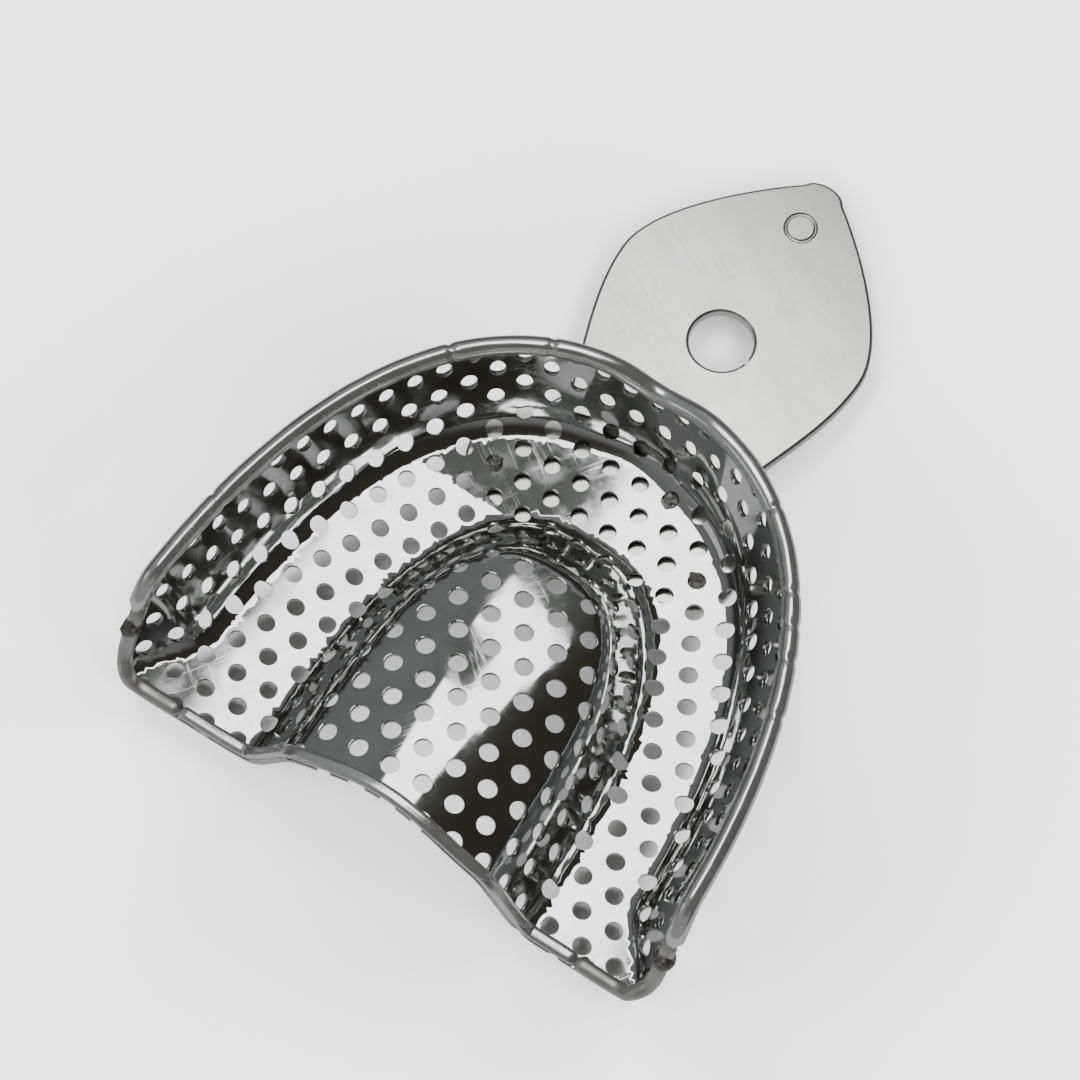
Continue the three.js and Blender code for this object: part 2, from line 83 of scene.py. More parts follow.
@dataclass(frozen=True)
class PressedForm:
    """The form that the sheet is pressed on: trough, wall and palate vault."""

    sheet: float = 0.7
    arch_half_width: float = 29.1
    arch_length: float = 48.0
    arch_fullness: float = 2.38
    wall_height: float = 10.5
    wall_flare: float = math.radians(18.0)
    corner_height: float = 1.6
    corner_back: float = 1.0
    corner_run: float = 9.0
    fold_rise: float = 8.0
    rest_gap: float = 0.1
    notch_depth: float = 1.3
    notch_half_width: float = 4.0
    notch_back: float = 14.0
    notch_run: float = 10.0
    border_reach: float = 1.2
    border_arch: float = 1.6
    border_arch_half_width: float = 9.0
    corner_rounding: float = 2.2
    side_trough: float = 13.1
    trim_spread: float = 0.4
    front_trough: float = 12.5
    vault_fullness: float = 2.6
    vault_height: float = 9.2
    vault_crown: float = 3.6
    vault_aside: float = 1.2
    flank_width: float = 6.0
    front_flank_width: float = 9.5
    front_flank_back: float = 28.8
    front_flank_run: float = 19.2
    plate: float = 1.3
    clearance: float = 0.3
    foot_depth: float = 15.3

    @property
    def floor_back(self) -> float:
        """Height of the trough's upper face at the back."""
        return self.sheet + self.rest_gap

    @property
    def floor_front(self) -> float:
        """Height of the trough's upper face over the handle's foot."""
        return self.plate + self.clearance + self.sheet

    def inside(self, x: np.ndarray, forward: np.ndarray, half_width: float, length: float,
               fullness: float) -> tuple[np.ndarray, np.ndarray]:
        """Where a point lies in an arch's outline.

        Args:
            x: Places across.
            forward: Places ahead of the corners.
            half_width: Half of the outline's width.
            length: The outline's length.
            fullness: Exponent of the outline.

        Returns:
            The share of the outline's size, and the distance inside it.
        """
        across = np.abs(x) / half_width
        along = np.maximum(forward, 0.0) / length
        share = (across**fullness + along**fullness) ** (1.0 / fullness) + 1e-9
        slope_across = (across / share) ** (fullness - 1.0) / half_width
        slope_along = (along / share) ** (fullness - 1.0) / length
        return share, (1.0 - share) / np.sqrt(slope_across**2 + slope_along**2 + 1e-12)

    def arch_inset(self, x: np.ndarray, forward: np.ndarray) -> np.ndarray:
        """Distance inside the wall's cut edge."""
        return self.inside(x, forward, self.arch_half_width, self.arch_length,
                           self.arch_fullness)[1]

    def edge_height(self, x: np.ndarray, forward: np.ndarray) -> np.ndarray:
        """Height of the wall's cut edge."""
        climb = smooth_step((forward + self.corner_back) / self.corner_run)
        notch = self.notch_depth * np.exp(-((x / self.notch_half_width) ** 2))
        at_front = smooth_step((forward - self.arch_length + self.notch_back) / self.notch_run)
        rise = (self.wall_height - self.corner_height) * climb
        return self.corner_height + rise - notch * at_front

    def height(self, x: np.ndarray, forward: np.ndarray) -> np.ndarray:
        """Height of the sheet's upper face."""
        foot_back = self.arch_length - self.foot_depth
        climb = np.clip(forward / foot_back, 0.0, 1.0)
        floor = self.floor_back + (self.floor_front - self.floor_back) * climb
        share, inset = self.inside(x + self.vault_aside, forward,
                                   self.arch_half_width - self.side_trough,
                                   self.arch_length - self.front_trough, self.vault_fullness)
        from_start = forward - self.arch_length + self.front_flank_back
        ahead = smooth_step(from_start / self.front_flank_run)
        flank_width = self.flank_width + (self.front_flank_width - self.flank_width) * ahead
        flank = smooth_step(inset / flank_width)
        crown = 1.0 - np.minimum(share, 1.0) ** 2
        base = floor + (self.vault_height - self.vault_crown) * flank + self.vault_crown * crown
        edge = self.edge_height(x, forward)
        wall = edge - self.arch_inset(x, forward) / math.tan(self.wall_flare)
        over = wall - base
        fold = np.minimum(self.fold_rise, edge - floor)
        blend = (wall + base) / 2.0 + fold * (1.0 + (over / fold) ** 2) / 4.0
        return np.where(np.abs(over) > fold, np.maximum(wall, base), blend)

    def normal(self, x: np.ndarray, forward: np.ndarray) -> np.ndarray:
        """Unit normals of the upper face, as rows of x, y and z."""
        step = 1e-3
        slope_x = (self.height(x + step, forward) - self.height(x - step, forward)) / (2 * step)
        slope_f = (self.height(x, forward + step) - self.height(x, forward - step)) / (2 * step)
        rows = np.stack([-slope_x, slope_f, np.ones_like(slope_x)], -1)
        return rows / np.linalg.norm(rows, axis=-1, keepdims=True)

    def settle(self, points: np.ndarray) -> np.ndarray:
        """Moves points onto the form, square to it.

        Args:
            points: Rows of x, y and z, where y is minus forward.

        Returns:
            The settled rows.
        """
        for _ in range(2):
            normal = self.normal(points[:, 0], -points[:, 1])
            gap = self.height(points[:, 0], -points[:, 1]) - points[:, 2]
            points = points + normal * (gap * normal[:, 2])[:, None]
        points[:, 2] = self.height(points[:, 0], -points[:, 1])
        return points

    def border(self, x: np.ndarray) -> np.ndarray:
        """How far forward the back border is at x."""
        arch = self.border_arch * np.exp(-((x / self.border_arch_half_width) ** 2))
        rounding = self.corner_rounding
        run = np.clip(np.abs(x) - (self.arch_half_width - rounding), 0.0, rounding)
        return arch - self.border_reach + rounding - np.sqrt(rounding**2 - run**2)

    def above_edge(self, angle: np.ndarray, rise: float) -> np.ndarray:
        """Points `rise` above the wall's cut edge, on the middle of the sheet.

        Args:
            angle: Angles round the arch, 0 at the left corner.
            rise: Distance square to the edge.

        Returns:
            Rows of x, y and z.
        """
        ahead, behind = self.arch_point(angle + 0.01, 0.0), self.arch_point(angle - 0.01, 0.0)
        climb = self.edge_height(*ahead.T) - self.edge_height(*behind.T)
        run = np.linalg.norm(ahead - behind, axis=-1)
        lift = rise * np.sqrt(1.0 + (climb / run) ** 2)
        outset = lift * math.tan(self.wall_flare) + self.sheet / 2 / math.cos(self.wall_flare)
        plan = self.arch_point(angle, outset)
        height = self.edge_height(plan[:, 0], plan[:, 1]) + lift
        return np.stack([plan[:, 0], -plan[:, 1], height], -1)

    def arch_point(self, angle: np.ndarray, outset: np.ndarray) -> np.ndarray:
        """Rows of x and forward on the arch's outline, moved out by `outset`."""
        power = 2.0 / self.arch_fullness
        across = np.abs(np.cos(angle)) ** power * np.sign(np.cos(angle))
        along = np.abs(np.sin(angle)) ** power * np.sign(np.sin(angle))
        return np.stack([(self.arch_half_width + outset) * across,
                         (self.arch_length + outset) * along], -1)

    def angle_at(self, forward: float) -> float:
        """Angle round the arch at a distance ahead of the corners."""
        return math.asin((forward / self.arch_length) ** (self.arch_fullness / 2.0))


@dataclass(frozen=True)
class Layout:
    """Turns the tray's own millimetres into the frame's metres."""

    handle_tip: float
    tip_y: float

    def place(self, rows: np.ndarray) -> np.ndarray:
        """Rows of x, y and z in metres, where the given y is minus forward."""
        return (rows + np.array([0.0, self.tip_y + self.handle_tip, 0.0])) * MM


@dataclass
class PressedBlank:
    """The punched blank on the form: hole centres and their neighbours."""

    form: PressedForm
    pitch: float = 3.5
    turn: float = math.radians(-1.4)
    shift: float = 0.5
    steps: int = 420
    share: float = 0.75
    squeeze: float = 0.8
    places: np.ndarray = field(init=False)
    near: np.ndarray = field(init=False)

    def __post_init__(self) -> None:
        """Lays the blank out flat and presses it."""
        self.places, self.near = self.press(*self.lay_out())

    def lay_out(self) -> tuple[np.ndarray, np.ndarray]:
        """Staggered hole centres of the flat blank.

        Returns:
            Rows of x and forward, and each centre's six neighbours anticlockwise from above,
            with -1 where there is none.
        """
        form = self.form
        across = form.arch_half_width + form.wall_height + form.vault_height / 3
        ahead = form.arch_length + form.wall_height + form.vault_height / 2
        back = form.border_reach + form.vault_height + self.pitch
        rows = math.ceil(ahead / self.pitch) * 2
        cos, sin = math.cos(self.turn), math.sin(self.turn)
        flat: list[tuple[float, float]] = []
        index: dict[tuple[int, int], int] = {}
        for row in range(-rows, rows + 1):
            for column in range(-rows, rows + 1):
                u = (column + (row % 2) / 2) * self.pitch + self.shift
                v = row * math.sqrt(3.0) / 2 * self.pitch
                x, forward = u * cos - v * sin, u * sin + v * cos
                share = form.inside(np.array(x), np.array(forward), across, ahead,
                                    form.arch_fullness)[0]
                if forward >= -back and share <= 1.0:
                    index[row, column] = len(flat)
                    flat.append((x, forward))
        near = []
        for row, column in index:
            odd = row % 2
            around = ((0, 1), (-1, odd), (-1, odd - 1), (0, -1), (1, odd - 1), (1, odd))
            near.append([index.get((row + up, column + right), -1) for up, right in around])
        return np.array(flat), np.array(near)

    def press(self, flat: np.ndarray, near: np.ndarray) -> tuple[np.ndarray, np.ndarray]:
        """Relaxes the blank on the form so that neighbours stay one pitch apart."""
        start = flat * self.squeeze
        places = np.stack([start[:, 0], -start[:, 1],
                           self.form.height(start[:, 0], start[:, 1])], -1)
        there = (near >= 0)[:, :, None]
        count = there.sum(1)
        for _ in range(self.steps):
            links = places[near] - places[:, None, :]
            length = np.linalg.norm(links, axis=-1, keepdims=True) + 1e-9
            pull = np.where(there, links * (1.0 - self.pitch / length), 0.0).sum(1)
            places = self.form.settle(places + pull * self.share / count)
        return places, near

    def nearest(self, x: float, forward: float) -> np.ndarray:
        """The punched centre nearest a place."""
        punched = self.places[(self.near >= 0).all(1)]
        return punched[np.hypot(punched[:, 0] - x, punched[:, 1] + forward).argmin()]


# ---- Modelling helpers ----
def only(piece: bpy.types.Object) -> None:
    """Makes one piece the only selected and the active one."""
    bpy.ops.object.select_all(action="DESELECT")
    piece.select_set(True)
    bpy.context.view_layer.objects.active = piece


def named(name: str) -> bpy.types.Object:
    """Names the piece that was just added, and its mesh."""
    piece = bpy.context.active_object
    piece.name = piece.data.name = name
    only(piece)
    return piece


def edit(piece: bpy.types.Object, kind: str = "VERT") -> None:
    """Opens a piece for editing with everything in it selected."""
    only(piece)
    bpy.ops.object.mode_set(mode="EDIT")
    bpy.ops.mesh.select_mode(type=kind)
    bpy.ops.mesh.select_all(action="SELECT")


def close() -> None:
    """Leaves edit mode."""
    bpy.ops.object.mode_set(mode="OBJECT")


def coordinates(piece: bpy.types.Object) -> np.ndarray:
    """Rows of a mesh's vertex places."""
    rows = np.empty(len(piece.data.vertices) * 3)
    piece.data.vertices.foreach_get("co", rows)
    return rows.reshape(-1, 3)


def set_coordinates(piece: bpy.types.Object, rows: np.ndarray) -> None:
    """Moves a mesh's vertices to the given rows."""
    piece.data.vertices.foreach_set("co", np.ascontiguousarray(rows, dtype=float).ravel())
    piece.data.update()


def modify(piece: bpy.types.Object, kind: str, **settings: object) -> None:
    """Adds a modifier, sets it and applies it.

    Args:
        piece: The mesh to change.
        kind: The modifier's type.
        settings: Its properties.
    """
    only(piece)
    modifier = piece.modifiers.new(kind.title(), kind)
    for key, value in settings.items():
        setattr(modifier, key, value)
    bpy.ops.object.modifier_apply(modifier=modifier.name)


def face_outward(piece: bpy.types.Object, merge: float = 1e-7) -> None:
    """Merges doubles and turns every face outward."""
    edit(piece)
    bpy.ops.mesh.remove_doubles(threshold=merge)
    bpy.ops.mesh.normals_make_consistent(inside=False)
    close()


def smooth(piece: bpy.types.Object, angle: float = 35.0) -> None:
    """Shades a piece smooth, with sharp edges past an angle in degrees."""
    only(piece)
    bpy.ops.object.shade_smooth_by_angle(angle=math.radians(angle))


def hand_over(piece: bpy.types.Object, slot: Slot, finish: bpy.types.Material,
              *nodes: str) -> None:
    """Dresses a finished piece and joins it to the frame.

    Args:
        piece: The piece, with its place in its mesh.
        slot: The record's material slot; not used.
        finish: Its material.
        nodes: CAD nodes that it stands for.
    """
    piece.data.materials.clear()
    piece.data.materials.append(finish)
    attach(piece, "root")
    if nodes:
        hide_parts(*nodes)
    LOG.info("%s: %d faces", piece.name, len(piece.data.polygons))


def ripple(rows: np.ndarray, grain: float, seed: float) -> np.ndarray:
    """Smooth noise from -1 to 1 at each place.

    Args:
        rows: Places in millimetres.
        grain: Size of a swell in millimetres.
        seed: Shift that makes one pattern differ from another.

    Returns:
        One value for each row.
    """
    shift = Vector((seed, -seed, 0.5 * seed))
    return np.array([noise.noise(Vector(row) / grain + shift) for row in rows])


@dataclass(frozen=True)
class Section:
    """Outline of a wire or band, as a rounded box."""

    half_width: float
    half_height: float
    fullness: float = 2.0
    sides: int = 20

    def offset(self, angle: np.ndarray) -> tuple[np.ndarray, np.ndarray]:
        """Offsets outward and up at angles round the section."""
        power = 2.0 / self.fullness
        cos, sin = np.cos(angle), np.sin(angle)
        return (self.half_width * np.sign(cos) * np.abs(cos) ** power,
                self.half_height * np.sign(sin) * np.abs(sin) ** power)


@dataclass
class SweptWire:
    """A wire or band that follows a path."""

    name: str
    section: Section
    path: Callable[[np.ndarray], np.ndarray]
    steps: int
    unevenness: float = 0.02
    end_rounding: float = 0.4
    seed: float = 1.0
    fine_cuts: int = 0
    nicks: tuple[tuple[float, float], ...] = ()
    nick_depth: float = 0.2
    nick_reach: float = 0.28

    def build(self, layout: Layout) -> bpy.types.Object:
        """Makes a rod, cuts it into rings and bends it along the path.

        Args:
            layout: Where the tray lies in the frame.

        Returns:
            The finished piece.
        """
        bpy.ops.object.select_all(action="DESELECT")
        bpy.ops.mesh.primitive_cylinder_add(vertices=self.section.sides, radius=1.0, depth=1.0)
        piece = named(self.name)
        for cuts in (self.steps - 1, self.fine_cuts):
            self.cut_lengthwise(piece, cuts)
        rows = coordinates(piece)
        along = rows[:, 2] + 0.5
        angle = np.arctan2(rows[:, 1], rows[:, 0])
        set_coordinates(piece, layout.place(self.bend(along, angle)))
        face_outward(piece)
        smooth(piece, 50.0)
        return piece

    @staticmethod
    def cut_lengthwise(piece: bpy.types.Object, cuts: int) -> None:
        """Cuts every stretch between two rings into shorter ones."""
        if cuts < 1:
            return
        edit(piece, "EDGE")
        mesh = bmesh.from_edit_mesh(piece.data)
        for edge in mesh.edges:
            edge.select_set(abs(edge.verts[0].co.z - edge.verts[1].co.z) > 1e-4)
        bmesh.update_edit_mesh(piece.data)
        bpy.ops.mesh.subdivide(number_cuts=cuts)
        close()

    def nicked(self, along: np.ndarray, track: np.ndarray, length: float) -> np.ndarray:
        """How far each place is pinched by a nick, from 0 to 1.

        Args:
            along: Shares of the path.
            track: Even steps along the path.
            length: The path's length.

        Returns:
            One value for each share.
        """
        pinch = np.zeros(len(along))
        for x, forward in self.nicks:
            nearest = np.argmin(np.hypot(track[:, 0] - x, track[:, 1] + forward))
            away = (along - nearest / (len(track) - 1)) * length
            pinch = np.maximum(pinch, np.exp(-((away / self.nick_reach) ** 2)))
        return pinch

    def bend(self, along: np.ndarray, angle: np.ndarray) -> np.ndarray:
        """Places on the wire's skin.

        Args:
            along: Shares of the path, 0 to 1.
            angle: Angles round the section.

        Returns:
            Rows of x, y and z.
        """
        held = np.clip(along, 0.003, 0.997)
        centre = self.path(along)
        ahead = self.path(held + 0.002) - self.path(held - 0.002)
        ahead /= np.linalg.norm(ahead, axis=-1, keepdims=True)
        outward = np.cross(UP, ahead)
        outward /= np.linalg.norm(outward, axis=-1, keepdims=True)
        lift = np.cross(ahead, outward)
        track = self.path(np.linspace(0.0, 1.0, 200))
        length = np.linalg.norm(np.diff(track, axis=0), axis=-1).sum()
        from_end = np.minimum(along, 1.0 - along) * length
        taper = np.sqrt(np.clip(1.0 - (1.0 - np.clip(from_end / self.end_rounding, 0, 1)) ** 2,
                                0.12, 1.0))
        swell = 1.0 + self.unevenness * ripple(centre, 3.1, self.seed)
        out, up = self.section.offset(angle)
        pinch = 1.0 - self.nick_depth * self.nicked(along, track, length)
        size = (taper * swell * pinch)[:, None]
        return centre + size * (outward * out[:, None] + lift * up[:, None])


# ---- Finishes ----
class Tree:
    """A node tree that is filled in place."""

    def __init__(self, tree: bpy.types.NodeTree) -> None:
        """Keeps the tree to add to."""
        self.tree = tree

    def add(self, kind: str, inputs: dict[object, object] | None = None,
            **settings: object) -> bpy.types.Node:
        """Adds a node.

        Args:
            kind: The node's type without its ShaderNode prefix.
            inputs: Values or sockets to feed its inputs, by name or index.
            settings: The node's own properties.

        Returns:
            The new node.
        """
        prefix = "" if kind.startswith("Node") else "ShaderNode"
        node = self.tree.nodes.new(prefix + kind)
        for key, value in settings.items():
            setattr(node, key, value)
        for key, value in (inputs or {}).items():
            if isinstance(value, bpy.types.NodeSocket):
                self.tree.links.new(value, node.inputs[key])
            else:
                node.inputs[key].default_value = value
        return node

    def math(self, operation: str, first: object, second: object = 0.5) -> bpy.types.NodeSocket:
        """Output of a Math node on two values or sockets."""
        node = self.add("Math", {0: first, 1: second}, operation=operation)
        return node.outputs[0]

    def ramp(self, value: bpy.types.NodeSocket, low: float, high: float, to_low: float = 0.0,
             to_high: float = 1.0) -> bpy.types.NodeSocket:
        """Output of a smooth Map Range node."""
        node = self.add("MapRange", {0: value, 1: low, 2: high, 3: to_low, 4: to_high},
                        interpolation_type="SMOOTHSTEP")
        return node.outputs[0]

    def blend(self, share: bpy.types.NodeSocket, first: object,
              second: object) -> bpy.types.NodeSocket:
        """Output of a colour Mix node."""
        node = self.add("Mix", {0: share, 6: first, 7: second}, data_type="RGBA")
        return node.outputs[2]

    def noise(self, place: bpy.types.NodeSocket, scale: object, detail: float = 3.0,
              roughness: float = 0.5) -> bpy.types.NodeSocket:
        """Height of a Noise texture."""
        node = self.add("TexNoise", {"Vector": place, "Scale": scale, "Detail": detail,
                                     "Roughness": roughness})
        return node.outputs["Fac"]


def grouped(name: str, inputs: Sequence[tuple[str, str, object]],
            outputs: Sequence[tuple[str, str]]) -> tuple[Tree, bpy.types.Node, bpy.types.Node]:
    """Starts a shader node group.

    Args:
        name: The group's name.
        inputs: Names, socket kinds and defaults of what it takes.
        outputs: Names and socket kinds of what it gives.

    Returns:
        The tree, its input node and its output node.
    """
    tree = bpy.data.node_groups.new(name, "ShaderNodeTree")
    for label, kind, default in inputs:
        socket = tree.interface.new_socket(name=label, in_out="INPUT", socket_type=kind)
        if default is not None:
            socket.default_value = default
    for label, kind in outputs:
        tree.interface.new_socket(name=label, in_out="OUTPUT", socket_type=kind)
    made = Tree(tree)
    return made, made.add("NodeGroupInput"), made.add("NodeGroupOutput")


def link(made: Tree, output: bpy.types.Node, label: str, value: bpy.types.NodeSocket) -> None:
    """Feeds one output of a group."""
    made.tree.links.new(value, output.inputs[label])


def scratches_group() -> bpy.types.NodeTree:
    """Fine scratches in two directions: a height and a mask."""
    made, given, output = grouped(
        "fine_scratches",
        [("Place", "NodeSocketVector", None), ("Scale", "NodeSocketFloat", 260.0),
         ("Turn", "NodeSocketVector", (0.0, 0.0, 0.6)), ("Amount", "NodeSocketFloat", 0.5)],
        [("Height", "NodeSocketFloat"), ("Mask", "NodeSocketFloat")])
    lines = []
    for index, stretch in enumerate(((1.0, 0.035, 1.0), (0.05, 1.0, 1.0))):
        turned = made.add("VectorRotate", {"Vector": given.outputs["Place"],
                                           "Rotation": given.outputs["Turn"]},
                          rotation_type="EULER_XYZ")
        place = made.add("Mapping", {"Vector": turned.outputs[0], "Scale": stretch,
                                     "Location": (0.013 * index, 0.0, 0.0)})
        height = made.noise(place.outputs[0], given.outputs["Scale"], 5.0, 0.65)
        near_middle = made.math("ABSOLUTE", made.math("SUBTRACT", height, 0.5))
        lines.append(made.ramp(near_middle, 0.0, 0.012, 1.0, 0.0))
    both = made.math("MAXIMUM", lines[0], lines[1])
    where = made.ramp(made.noise(given.outputs["Place"], 130.0, 2.0), 0.42, 0.62)
    mask = made.math("MULTIPLY", made.math("MULTIPLY", both, where), given.outputs["Amount"])
    link(made, output, "Mask", mask)
    link(made, output, "Height", made.math("SUBTRACT", 1.0, mask))
    return made.tree


def unevenness_group() -> bpy.types.NodeTree:
    """Swells of pressed metal at two sizes, and patches of haze."""
    made, given, output = grouped(
        "pressed_unevenness",
        [("Place", "NodeSocketVector", None), ("Swell Scale", "NodeSocketFloat", 180.0),
         ("Peel Scale", "NodeSocketFloat", 1500.0), ("Peel", "NodeSocketFloat", 0.1)],
        [("Height", "NodeSocketFloat"), ("Haze", "NodeSocketFloat")])
    place = given.outputs["Place"]
    swell = made.noise(place, given.outputs["Swell Scale"], 1.0)
    peel = made.noise(place, given.outputs["Peel Scale"], 2.0)
    patch = made.ramp(made.noise(place, 95.0, 1.0), 0.5, 0.72)
    peeled = made.math("MULTIPLY", made.math("MULTIPLY", peel, patch), given.outputs["Peel"])
    link(made, output, "Height", made.math("ADD", swell, peeled))
    link(made, output, "Haze", made.ramp(made.noise(place, 320.0, 4.0, 0.6), 0.4, 0.75))
    return made.tree


def brushing_group() -> bpy.types.NodeTree:
    """Long fine streaks across one direction: a height and a streak mask."""
    made, given, output = grouped(
        "brushing",
        [("Place", "NodeSocketVector", None), ("Turn", "NodeSocketVector", (0.0, 0.0, 0.0)),
         ("Scale", "NodeSocketFloat", 2600.0)],
        [("Height", "NodeSocketFloat"), ("Streak", "NodeSocketFloat")])
    turned = made.add("VectorRotate", {"Vector": given.outputs["Place"],
                                       "Rotation": given.outputs["Turn"]},
                      rotation_type="EULER_XYZ")
    place = made.add("Mapping", {"Vector": turned.outputs[0], "Scale": (0.02, 1.0, 0.3)})
    fine = made.noise(place.outputs[0], given.outputs["Scale"], 4.0, 0.6)
    broad = made.noise(place.outputs[0], 520.0, 2.0)
    link(made, output, "Height", fine)
    link(made, output, "Streak", made.math("MULTIPLY", fine, broad))
    return made.tree


class Effects:
    """The shared effects, each built once."""

    def __init__(self) -> None:
        """Builds the node groups."""
        self.scratches = scratches_group()
        self.unevenness = unevenness_group()
        self.brushing = brushing_group()


@dataclass(frozen=True)
class Steel:
    """A polished or brushed steel or solder finish."""

    name: str
    light: tuple[float, float, float]
    dark: tuple[float, float, float]
    smoothness: float
    haze: float
    swell: float
    scratch: float
    peel: float = 0.1
    brushed: float = 0.0
    grain: float = 0.0
    swell_scale: float = 180.0
    turn: float = 0.6
    metallic: float = 1.0
    scratch_dulling: float = 0.25
    streak_dulling: float = 0.12
    scratch_depth: float = 0.002

    def material(self, effects: Effects) -> bpy.types.Material:
        """Builds the finish.

        Args:
            effects: The shared node groups.

        Returns:
            The material.
        """
        material = bpy.data.materials.new(self.name)
        material.use_nodes = True
        made = Tree(material.node_tree)
        shader = material.node_tree.nodes["Principled BSDF"]
        shader.inputs["Metallic"].default_value = self.metallic
        place = made.add("TexCoord").outputs["Object"]
        uneven = self.group(made, effects.unevenness, {
            "Place": place, "Swell Scale": self.swell_scale, "Peel": self.peel})
        lines = self.group(made, effects.scratches, {
            "Place": place, "Turn": (0.0, 0.0, self.turn), "Amount": self.scratch})
        tone = made.ramp(made.noise(place, 210.0, 4.0, 0.6), 0.35, 0.7)
        colour = made.blend(tone, (*self.light, 1.0), (*self.dark, 1.0))
        rough = made.math("MULTIPLY_ADD", uneven.outputs["Haze"], self.haze)
        rough.node.inputs[2].default_value = self.smoothness
        dulled = made.math("MULTIPLY", lines.outputs["Mask"], self.scratch_dulling)
        rough = made.math("ADD", rough, dulled)
        height = made.add("Bump", {"Height": uneven.outputs["Height"], "Distance": self.swell * MM,
                                   "Strength": 1.0})
        fine = made.add("Bump", {"Height": lines.outputs["Height"], "Strength": 0.6,
                                 "Distance": self.scratch_depth * MM,
                                 "Normal": height.outputs[0]})
        if self.brushed:
            streaks = self.group(made, effects.brushing, {
                "Place": place, "Turn": (0.0, 0.0, self.turn)})
            dulled = made.math("MULTIPLY", streaks.outputs["Streak"], self.streak_dulling)
            rough = made.math("ADD", rough, dulled)
            fine = made.add("Bump", {"Height": streaks.outputs["Height"],
                                     "Distance": self.brushed * MM, "Strength": 0.5,
                                     "Normal": fine.outputs[0]})
        if self.grain:
            pits = made.noise(place, 2600.0, 5.0, 0.7)
            fine = made.add("Bump", {"Height": pits, "Distance": self.grain * MM,
                                     "Strength": 1.0, "Normal": fine.outputs[0]})
        links = material.node_tree.links
        links.new(colour, shader.inputs["Base Color"])
        links.new(made.math("MINIMUM", rough, 0.9), shader.inputs["Roughness"])
        links.new(fine.outputs[0], shader.inputs["Normal"])
        return material

    @staticmethod
    def group(made: Tree, tree: bpy.types.NodeTree,
              inputs: dict[object, object]) -> bpy.types.Node:
        """Places a shared effect in a material with its own values."""
        node = made.add("Group", node_tree=tree)
        for key, value in inputs.items():
            if isinstance(value, bpy.types.NodeSocket):
                made.tree.links.new(value, node.inputs[key])
            else:
                node.inputs[key].default_value = value
        return node


SHEET_STEEL = Steel("polished_sheet_steel", light=(0.74, 0.75, 0.74), dark=(0.66, 0.67, 0.66),
                    smoothness=0.04, haze=0.06, swell=0.012, scratch=0.22)
WIRE_STEEL = Steel("polished_rim_steel", light=(0.82, 0.83, 0.82), dark=(0.7, 0.71, 0.7),
                   smoothness=0.14, haze=0.1, swell=0.02, scratch=0.4, swell_scale=400.0,
                   metallic=0.97)
BAND_STEEL = Steel("dulled_band_steel", light=(0.56, 0.56, 0.54), dark=(0.42, 0.42, 0.4),
                   smoothness=0.28, haze=0.14, swell=0.02, scratch=0.8, swell_scale=500.0,
                   grain=0.01, metallic=0.95)
HANDLE_STEEL = Steel("brushed_handle_steel", light=(0.77, 0.77, 0.75), dark=(0.74, 0.74, 0.72),
                     smoothness=0.17, haze=0.03, swell=0.006, scratch=0.12, brushed=0.003,
                     swell_scale=90.0, turn=0.5, metallic=0.985)
ROUGH_SOLDER = Steel("rough_solder", light=(0.5, 0.49, 0.46), dark=(0.28, 0.27, 0.25),
                     smoothness=0.34, haze=0.2, swell=0.05, scratch=0.3, grain=0.06,
                     swell_scale=900.0)


